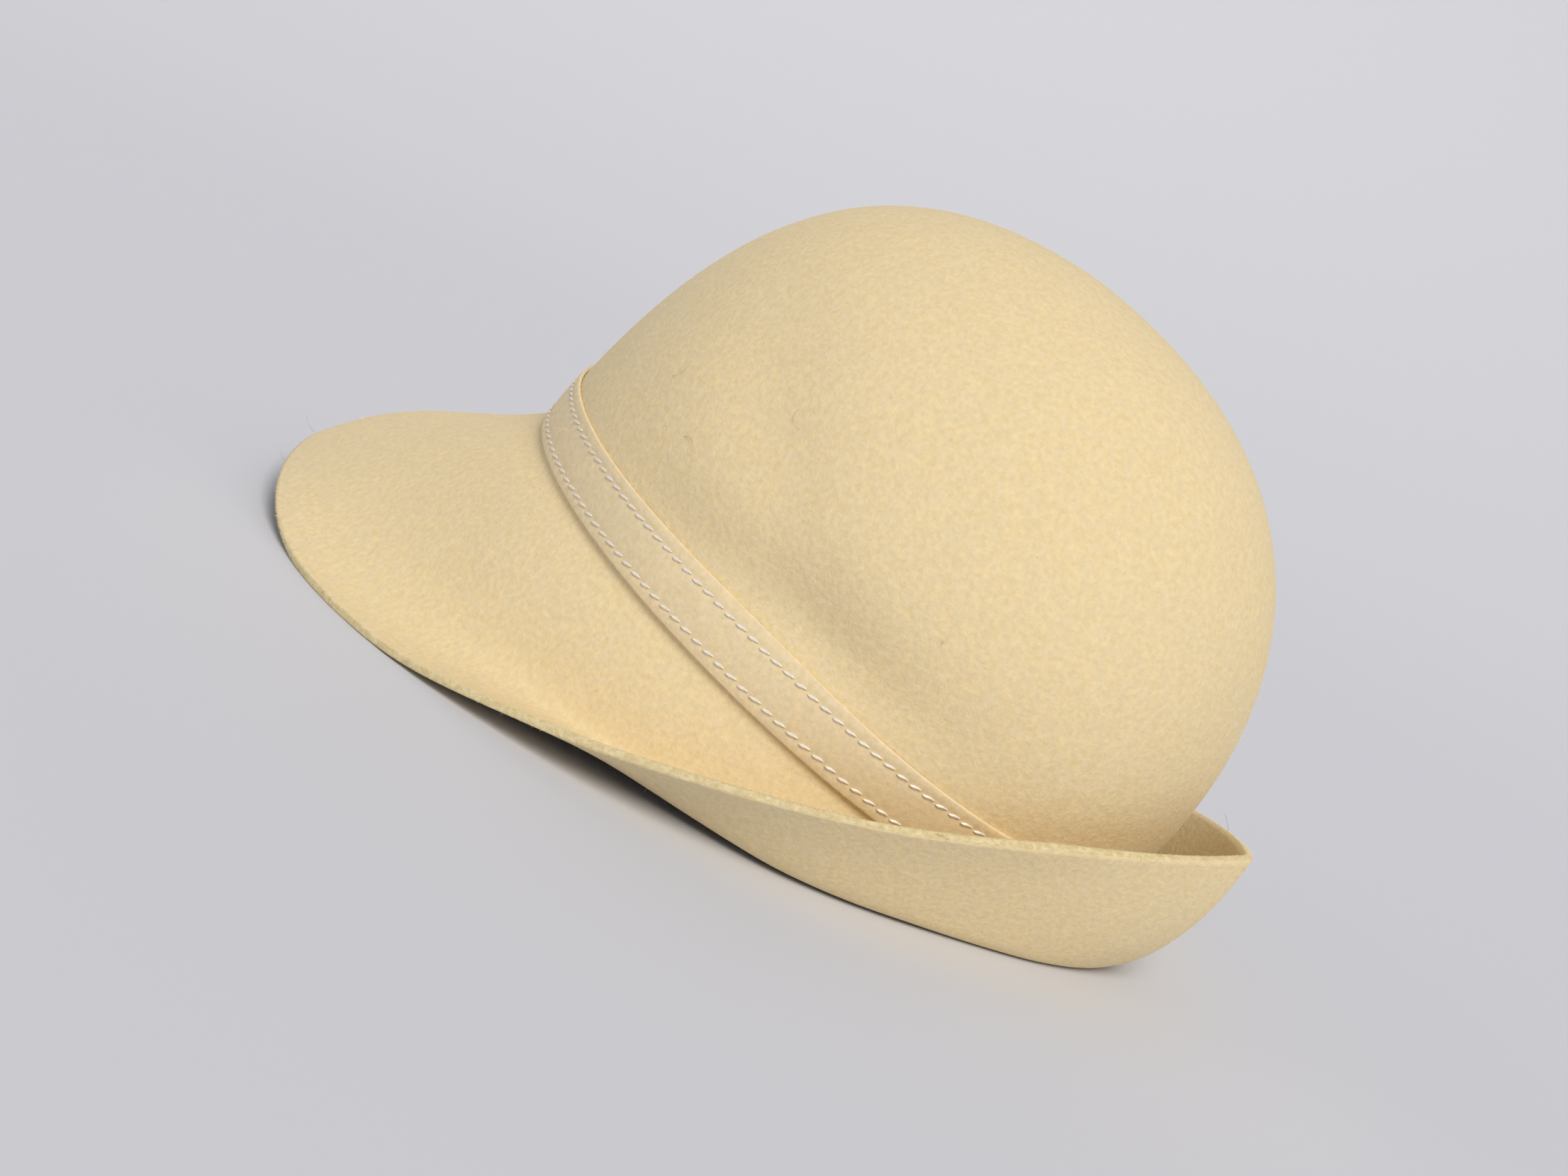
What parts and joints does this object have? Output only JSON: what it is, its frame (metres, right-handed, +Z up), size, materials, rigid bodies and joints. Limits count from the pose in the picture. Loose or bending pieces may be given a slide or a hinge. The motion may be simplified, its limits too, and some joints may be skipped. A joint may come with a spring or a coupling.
{
  "type": "cloche hat",
  "caption": "Blocked felt cloche hat with a deep round crown, a peaked front brim, turned-up sides and back, and a stitched felt band.",
  "frame": {"origin": "middle of the outline seen from above, on the surface the hat rests on", "axes": "+Z up from the surface, -Y towards the front peak, +X towards the wearer's left"},
  "size_m": [0.227, 0.2972, 0.1538],
  "materials": {
    "felt": "matt blocked wool felt, pale butter cream",
    "band_felt": "matt wool felt strip, pale butter cream"
  },
  "bodies": {
    "root": {"felt_hood": "felt", "felt_band": "band_felt"}
  },
  "joints": []
}
